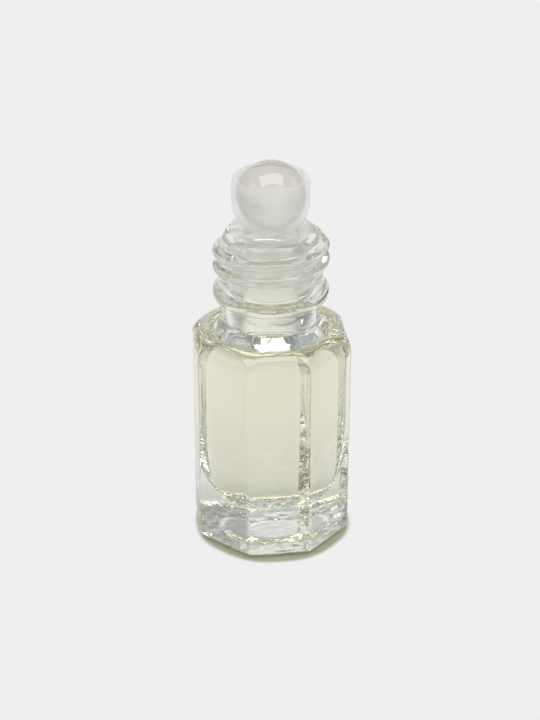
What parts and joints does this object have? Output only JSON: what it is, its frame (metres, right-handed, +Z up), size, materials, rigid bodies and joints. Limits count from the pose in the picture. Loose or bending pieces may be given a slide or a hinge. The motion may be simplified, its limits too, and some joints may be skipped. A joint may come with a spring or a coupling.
{
  "type": "roll-on perfume oil bottle",
  "caption": "Small eight-sided clear glass perfume oil bottle with a threaded neck, filled with pale oil, and a plastic roller fitment holding a rolling glass ball.",
  "frame": {"origin": "centre of the base, on the plane that the bottle stands on", "axes": "+Z up along the bottle's axis, -Y out of the front flat, which is one of the eight flats"},
  "size_m": [0.0174, 0.0174, 0.0452],
  "materials": {
    "clear_glass": "moulded flint glass, fire-polished and clear",
    "pale_oil": "clear pale cream-yellow oil",
    "natural_plastic": "satin, translucent natural polyethylene",
    "ball_glass": "ground and polished glass"
  },
  "bodies": {
    "bottle": {"glass_bottle": "clear_glass", "perfume_oil": "pale_oil"},
    "fitment": {"roller_housing": "natural_plastic"},
    "ball": {"roller_ball": "ball_glass"}
  },
  "joints": [
    {"name": "fitment_pull", "type": "slide", "parent": "bottle", "child": "fitment", "axis": [0, 0, 1], "range_m": [0, 0.012]},
    {"name": "ball_roll", "type": "hinge", "parent": "fitment", "child": "ball", "pos_m": [0, 0, 0.04145], "axis": [1, 0, 0], "continuous": true}
  ]
}
